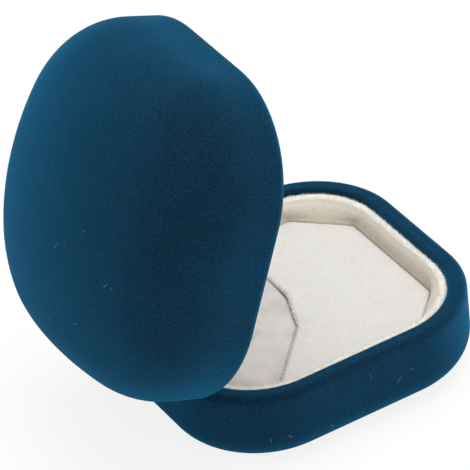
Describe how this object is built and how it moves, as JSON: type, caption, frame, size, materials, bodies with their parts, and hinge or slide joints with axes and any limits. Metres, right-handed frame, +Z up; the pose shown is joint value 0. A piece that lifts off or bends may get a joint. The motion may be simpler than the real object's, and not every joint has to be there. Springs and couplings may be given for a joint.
{
  "type": "hinged jewellery box",
  "caption": "Rounded jewellery box with a tall domed lid on a rear hinge, flocked blue outside, cream velour lining with an angular pad edge and a satin ring cushion.",
  "frame": {"origin": "middle of the underside of the base, on the surface it stands on", "axes": "X along the hinge, -Y out of the front, +Z up; the lid stands open at rest"},
  "size_m": [0.0634, 0.0833, 0.0801],
  "materials": {
    "shell_plastic": "moulded",
    "flocked_blue": "flocked",
    "velour_cream": "velour",
    "satin": "satin",
    "card": "plain",
    "foam": "foam",
    "steel": "plated"
  },
  "bodies": {
    "base": {"base_shell": "shell_plastic", "base_skin": "flocked_blue", "base_sole": "flocked_blue", "collar_card": "card", "collar_velour": "velour_cream", "insert_foam": "foam", "insert_board": "card", "insert_velour": "velour_cream", "ring_cushion": "satin", "hinge_leaf_base": "steel", "hinge_pin": "steel", "hinge_spring": "steel", "rivet_base_left": "steel", "rivet_base_right": "steel"},
    "lid": {"lid_shell": "shell_plastic", "lid_skin": "flocked_blue", "lid_band_card": "card", "lid_band_velour": "velour_cream", "lid_board": "card", "lid_pad": "satin", "hinge_leaf_lid": "steel", "rivet_lid_left": "steel", "rivet_lid_right": "steel"}
  },
  "joints": [
    {"name": "lid_hinge", "type": "hinge", "parent": "base", "child": "lid", "pos_m": [0, 0.0299, 0.0164], "axis": [-1, 0, 0], "range_deg": [-69, 6]}
  ]
}
